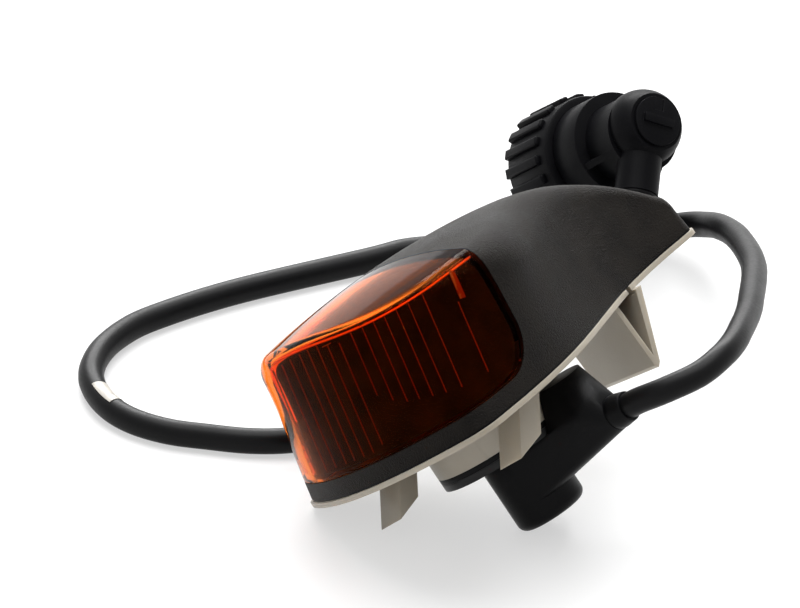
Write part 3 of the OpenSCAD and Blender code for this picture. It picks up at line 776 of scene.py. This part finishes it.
def strip(bm, line, width, depth):
    # a bar with a square section, laid along a line of points on the wall
    rings = []
    for i, (here, inward) in enumerate(line):
        ahead = line[min(i + 1, len(line) - 1)][0] - line[max(i - 1, 0)][0]
        across = ahead.cross(inward).normalized() * width / 2
        rings.append([here - across, here + across, here + across + inward * depth,
                      here - across + inward * depth])
    place = bm.verts.layers.int["place"]
    corners = [bm.verts.new(p) for p in rings[0]]
    for i, corner in enumerate(corners):
        corner[place] = i
    edges = list(bm.faces.new(corners).edges)
    for ring in rings[1:]:
        edges = drawnOn(bm, edges, place, ring)
    bmesh.ops.holes_fill(bm, edges=edges, sides=0)


def turnedIn(inward, here):
    return -inward if inward.dot(ribs["inside"] - here) < 0 else inward


def inwardAt(rings, place, height):
    way = columnPoint(rings, place + 0.3, height) - columnPoint(rings, place - 0.3, height)
    return turnedIn(Vector((way.y, -way.x, 0)).normalized(), columnPoint(rings, place, height))


def wallLine(wall, places, heights):
    return [(columnPoint(wall, p, h), inwardAt(wall, p, h)) for p, h in zip(places, heights)]


def upright(wall, place, start, low, high):
    heights = [low + (high - low) * i / 10 for i in range(11)]
    return wallLine(wall, [leaned(wall, place, start, h) for h in heights], heights)


# strips for the lens's real flutes; their lighter colour is painted glow
def makeRibs(ribs, wall):
    bm = bmesh.new()
    bm.verts.layers.int.new("place")
    for *rib, width in [r if len(r) > 4 else (*r, ribs["width"]) for r in ribs["thin"]]:
        strip(bm, upright(wall, *rib), width, ribs["depth"])
    for a, b, height in ribs["steps"]:
        places = [a + (b - a) * i / 4 for i in range(5)]
        strip(bm, wallLine(wall, places, [height] * 5), ribs["width"], ribs["depth"])
    bmesh.ops.recalc_face_normals(bm, faces=bm.faces)
    return pieceFrom(bm, "lensRibs", "ribGlow", "lamp", lampAxes)


def makeEdgeGlow(ribs, wall):
    # strips of painted glow for the lens's bright edges: upright ones, and the line under its roof
    bm = bmesh.new()
    bm.verts.layers.int.new("place")
    for *rib, width in ribs["wide"]:
        strip(bm, upright(wall, *rib), width, ribs["depth"])
    a, b, ring, width = ribs["edge"]
    n = len(wall[0])
    line = []
    for i in range(a, b - 1, -1):
        here = Vector(wall[ring][i % n])
        over = Vector(wall[ring + 1][i % n]) - here
        along = Vector(wall[ring][(i + 1) % n]) - Vector(wall[ring][(i - 1) % n])
        line.append((here, turnedIn(over.cross(along).normalized(), here)))
    strip(bm, line, width, ribs["depth"])
    bmesh.ops.recalc_face_normals(bm, faces=bm.faces)
    return pieceFrom(bm, "lensPaintedEdgeGlow", "edgeGlow", "lamp", lampAxes)


lensWall = formRings(body, body["lensWall"] + 0.02, body["foot"])
makeRibs(ribs, lensWall)
makeEdgeGlow(ribs, lensWall)
print("ribs and edges made")


# pieces that keep most of their CAD shape

tailEnd = {"from": 85.0, "to": 137.0, "drawnTo": 130.2}


def drawnIn(piece, tailEnd):
    # the tail is a little shorter in the photograph than in the CAD model
    start = tailEnd["from"]
    share = (tailEnd["drawnTo"] - start) / (tailEnd["to"] - start)
    bm = bmesh.new()
    bm.from_mesh(piece.data)
    back = lampAxes.inverted()
    for vert in bm.verts:
        at = back @ (vert.co / mm)
        if at.x > start:
            at.x = start + (at.x - start) * share
            vert.co = (lampAxes @ at) * mm
    bm.to_mesh(piece.data)
    bm.free()


legs = {
    "tips": [((12.3, 23.7, -13.5), 10.7, 8.6), ((24.2, -20.8, -13.5), 11.4, 9.6)],
    "thickness": 1.4, "lean": 0.76, "top": -0.4,
    "cutLow": -20.0, "cutTop": -0.02,
    "cutBoxes": [((13.0, 17.5), (28.5, 31.0)), ((26.0, -24.5), (41.5, -10.5))],
    "socket": (45.0, 0.0, 20.55), "socketDepth": 10.55,
}


def box(low, high, name):
    bm = bmesh.new()
    bmesh.ops.create_cube(bm, size=1.0)
    bmesh.ops.scale(bm, vec=[h - l for l, h in zip(low, high)], verts=bm.verts)
    bmesh.ops.translate(bm, vec=[(h + l) / 2 for l, h in zip(low, high)], verts=bm.verts)
    return lampTool(bm, name, "palePlastic")


def makeLeg(legs, tip, wide, long, name):
    # an angle with a slanted foot, leaning forwards
    x, y, z = tip
    t = legs["thickness"]
    foot = [
        (x, y, z), (x, y - wide, z + 0.8), (x + long, y - wide, z + 2.6),
        (x + long, y - wide + t, z + 2.6), (x + t, y - wide + t, z + 1), (x + t, y, z + 0.2),
    ]
    bm = bmesh.new()
    for vert in movedOn(bm, bm.faces.new([bm.verts.new(p) for p in foot]), (0, 0, 0)):
        vert.co.x += legs["lean"] * (legs["top"] - vert.co.z)
        vert.co.z = legs["top"]
    bmesh.ops.recalc_face_normals(bm, faces=bm.faces)
    return softened(lampTool(bm, name, "palePlastic"), 0.2, 30, 0)


def makeBasePlate(legs):
    plate = carriedOver("base_plate", "palePlastic", "pale_plastic", 0)
    tools = [box((*low, legs["cutLow"]), (*high, legs["cutTop"]), "legRoom")
             for low, high in legs["cutBoxes"]]
    cx, cy, r = legs["socket"]
    depth = 60
    bm = bmesh.new()
    bmesh.ops.create_cone(bm, cap_ends=True, segments=96, radius1=r, radius2=r, depth=depth)
    bmesh.ops.translate(bm, vec=(cx, cy, depth / 2 - legs["socketDepth"]), verts=bm.verts)
    socket = lampTool(bm, "socketRoom", "palePlastic")
    for tool in tools:
        cut(tool, [socket], "DIFFERENCE")
    cut(plate, tools, "DIFFERENCE")
    fresh = [makeLeg(legs, *leg, "snapLeg") for leg in legs["tips"]]
    cut(plate, fresh, "UNION")
    dropped(socket, *tools, *fresh)
    softened(plate, 0.22)
    return plate


basePlate = makeBasePlate(legs)

# finish, slot and the width of the rounded edges
carried = {
    "elbow": ("softBlack", "black_plastic", 0.4),
    "elbow_boot": ("softBlack", "soft_black", 0.2),
    "bulb_holder": ("blackPlastic", "black_plastic", 0.2),
    "holder_seal": ("softBlack", "soft_black", 0.15),
    "base_seal": ("softBlack", "soft_black", 0),
    "backshell": ("connectorPlastic", "connector_plastic", 0.3),
    "backshell_cap": ("connectorPlastic", "connector_plastic", 0.2),
    "cable_grommet": ("softBlack", "soft_black", 0.2),
    "plug_body": ("connectorPlastic", "connector_plastic", 0.25),
}
carriedPieces = {node: carriedOver(node, *values) for node, values in carried.items()}
for piece in (basePlate, housing, carriedPieces["base_seal"]):
    drawnIn(piece, tailEnd)


ring = {
    "start": 23.1, "length": 19.7, "radius": 17.7, "wall": 2.6, "lip": 1.7, "bore": 13.1,
    "bars": 20, "barWidth": 2.7, "barHeight": 1.3, "barStart": 3.2, "barEnd": 0.5, "sunk": 0.8, "edge": 0.6,
}


def makeRing(ring):
    # a turned body with rounded bars for the fingers
    base = ring["radius"] - ring["barHeight"]
    x0, x1 = ring["start"], ring["start"] + ring["length"]
    inner = ring["radius"] - ring["wall"]
    profile = [
        (x0, ring["bore"]), (x0, base - 0.9), (x0 + 0.3, base - 0.25), (x0 + 1, base),
        (x1 - 0.6, base), (x1 - 0.1, base - 0.3), (x1, inner + 0.5), (x1, inner),
        (x0 + ring["lip"], inner), (x0 + ring["lip"], ring["bore"]),
    ]
    bm = bmesh.new()
    line = [bm.verts.new((x, r, 0)) for x, r in profile]
    edges = [bm.edges.new((line[i], line[(i + 1) % len(line)])) for i in range(len(line))]
    bmesh.ops.spin(bm, geom=line + edges, cent=(0, 0, 0), axis=(1, 0, 0), angle=2 * math.pi,
                   steps=96, use_merge=True)
    bmesh.ops.remove_doubles(bm, verts=bm.verts, dist=0.001)
    start, end = x0 + ring["barStart"], x1 - ring["barEnd"]
    height = ring["barHeight"] + ring["sunk"]
    middle = ((end + start) / 2, base + (ring["barHeight"] - ring["sunk"]) / 2, 0)
    for k in range(ring["bars"]):
        made = bmesh.ops.create_cube(bm, size=1.0)["verts"]
        bmesh.ops.scale(bm, vec=(end - start, height, ring["barWidth"]), verts=made)
        bmesh.ops.translate(bm, vec=middle, verts=made)
        over = {e for v in made for e in v.link_edges if all(w.co.y > base for w in e.verts)}
        over |= {e for v in made for e in v.link_edges if all(w.co.x < start + 0.1 for w in e.verts)}
        softer = bmesh.ops.bevel(bm, geom=list(over), offset=ring["edge"], segments=4, profile=0.5,
                                 affect="EDGES", material=-1)
        bar = {v for f in softer["faces"] for v in f.verts} | {v for v in made if v.is_valid}
        turn = Matrix.Rotation(2 * math.pi * k / ring["bars"], 3, "X")
        bmesh.ops.rotate(bm, cent=(0, 0, 0), matrix=turn, verts=list(bar))
    bmesh.ops.recalc_face_normals(bm, faces=bm.faces)
    return pieceFrom(bm, "couplingRingFinished", "connectorPlastic", "ring", plugAxes,
                     replaces=("coupling_ring",))


couplingRing = makeRing(ring)


sticker = {
    "from": 25.6, "to": 26.4,             # counted in points of the lead's way
    "angles": (15.0, 115.0),              # from the loop's inner side upwards, in degrees
    "thickness": 0.12, "lift": 0.02,
}


def makeSticker(sticker, line):
    # a paper patch bent round the lead
    first = round(sticker["from"] * lead["steps"])
    last = round(sticker["to"] * lead["steps"])
    low, high = sticker["angles"]
    radius = (lead["diameter"] / 2 + sticker["lift"]) * mm
    n = 12
    arcs = []
    for k in range(first, last + 1):
        way = (line[k + 1] - line[k - 1]).normalized()
        inner = way.cross(Vector((0, 0, 1))).normalized() * -1
        above = inner.cross(way).normalized()
        above = above if above.z > 0 else -above
        arc = []
        for i in range(n + 1):
            a = math.radians(low + (high - low) * i / n)
            arc.append(line[k] + (inner * math.cos(a) + above * math.sin(a)) * radius)
        arcs.append(arc)
    bm = bmesh.new()
    place = bm.verts.layers.int.new("place")
    for i, point in enumerate(arcs[0]):
        bm.verts.new(point)[place] = i
    bm.verts.ensure_lookup_table()
    edges = [bm.edges.new((bm.verts[i], bm.verts[i + 1])) for i in range(n)]
    for arc in arcs[1:]:
        edges = drawnOn(bm, edges, place, arc)
    bmesh.ops.recalc_face_normals(bm, faces=bm.faces)
    face = next(iter(bm.faces))
    if face.normal.dot(face.calc_center_median() - line[first]) < 0:
        bmesh.ops.reverse_faces(bm, faces=bm.faces)
    bmesh.ops.solidify(bm, geom=bm.faces[:], thickness=-sticker["thickness"] * mm)
    bmesh.ops.recalc_face_normals(bm, faces=bm.faces)
    return pieceFrom(bm, "cableLabel", "label", "lamp", scale=1, replaces=("cable_label",))


label = makeSticker(sticker, leadWay)

# CAD pieces that only take a finish
plain = {
    "bulb_glass": "clearGlass", "bulb_cap": "brightMetal", "centre_contact": "contactBrass",
    "side_contact": "contactBrass", "contact_insert": "blackPlastic", "contact_pins": "contactBrass",
    "nose_seal": "softBlack", "ring_clip": "brightMetal",
}
for node, finish in plain.items():
    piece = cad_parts[node]
    piece.data.materials.clear()
    piece.data.materials.append(finishes[finish])
print("carried pieces made")

leadLength(leadWay)


# floor, world and lamps

studio = {
    "floorWhite": 0.9,
    "floorGlow": 0.55,                    # share of the floor that is plain white to the camera
    "floorReach": 6.0,
    "worldStrength": 0.55,
    "lamps": {
        # place, size and power
        "overhead": ((0.25, 0.25, 1.3), (1.2, 1.2), 26.0),
        "rim": ((0.9, 0.9, 0.7), (0.9, 0.6), 22.0),
    },
}


seenRays = ("Is Camera Ray", "Is Glossy Ray", "Is Transmission Ray")


def makeFloor(studio):
    bm = bmesh.new()
    bmesh.ops.create_grid(bm, x_segments=2, y_segments=2, size=studio["floorReach"])
    mesh = bpy.data.meshes.new("floor")
    bm.to_mesh(mesh)
    bm.free()
    floor = bpy.data.objects.new("floor", mesh)
    scene.collection.objects.link(floor)
    white = (*[studio["floorWhite"]] * 3, 1.0)
    finish = Finish("floorWhite", roughness=0.9, specularLevel=0.1, baseColor=white)
    rays = finish.tree.nodes.new("ShaderNodeLightPath")
    camera, glossy, through = (Signal(finish, rays.outputs[k]) for k in seenRays)
    share = camera.largest(glossy.largest(through)) * studio["floorGlow"]
    glow = finish.node("ShaderNodeEmission", {}, {"Color": (1, 1, 1, 1), "Strength": 1.0})
    lit = Signal(finish, finish.surface.outputs[0])
    mixed = finish.node("ShaderNodeMixShader", {}, {0: share, 1: lit, 2: glow})
    finish.plug(finish.output.inputs["Surface"], mixed)
    mesh.materials.append(finish.material)


def makeWorld(studio):
    # dim for the light it gives, plain white where it is seen or mirrored
    world = bpy.data.worlds.new("studioWorld")
    world.use_nodes = True
    scene.world = world
    tree = world.node_tree
    tree.nodes.clear()
    output = tree.nodes.new("ShaderNodeOutputWorld")
    grounds = []
    for strength in (studio["worldStrength"], 1.0):
        ground = tree.nodes.new("ShaderNodeBackground")
        ground.inputs["Color"].default_value = (1, 1, 1, 1)
        ground.inputs["Strength"].default_value = strength
        grounds.append(ground)
    rays = tree.nodes.new("ShaderNodeLightPath")
    share = rays.outputs[seenRays[0]]
    for kind in seenRays[1:]:
        either = tree.nodes.new("ShaderNodeMath")
        either.operation = "MAXIMUM"
        tree.links.new(share, either.inputs[0])
        tree.links.new(rays.outputs[kind], either.inputs[1])
        share = either.outputs[0]
    mix = tree.nodes.new("ShaderNodeMixShader")
    tree.links.new(share, mix.inputs[0])
    for ground, socket in zip(grounds, (1, 2)):
        tree.links.new(ground.outputs[0], mix.inputs[socket])
    tree.links.new(mix.outputs[0], output.inputs["Surface"])


def areaLamp(name, place, size, power, aim=(0.02, 0.03, 0.02)):
    data = bpy.data.lights.new(name, "AREA")
    data.shape = "RECTANGLE"
    data.size, data.size_y = size
    data.energy = power
    lamp = bpy.data.objects.new(name, data)
    way = Vector(aim) - Vector(place)
    lamp.matrix_world = Matrix.Translation(place) @ way.to_track_quat("-Z", "Y").to_matrix().to_4x4()
    scene.collection.objects.link(lamp)


makeFloor(studio)
makeWorld(studio)
for name, values in studio["lamps"].items():
    areaLamp(name, *values)
print("studio made")
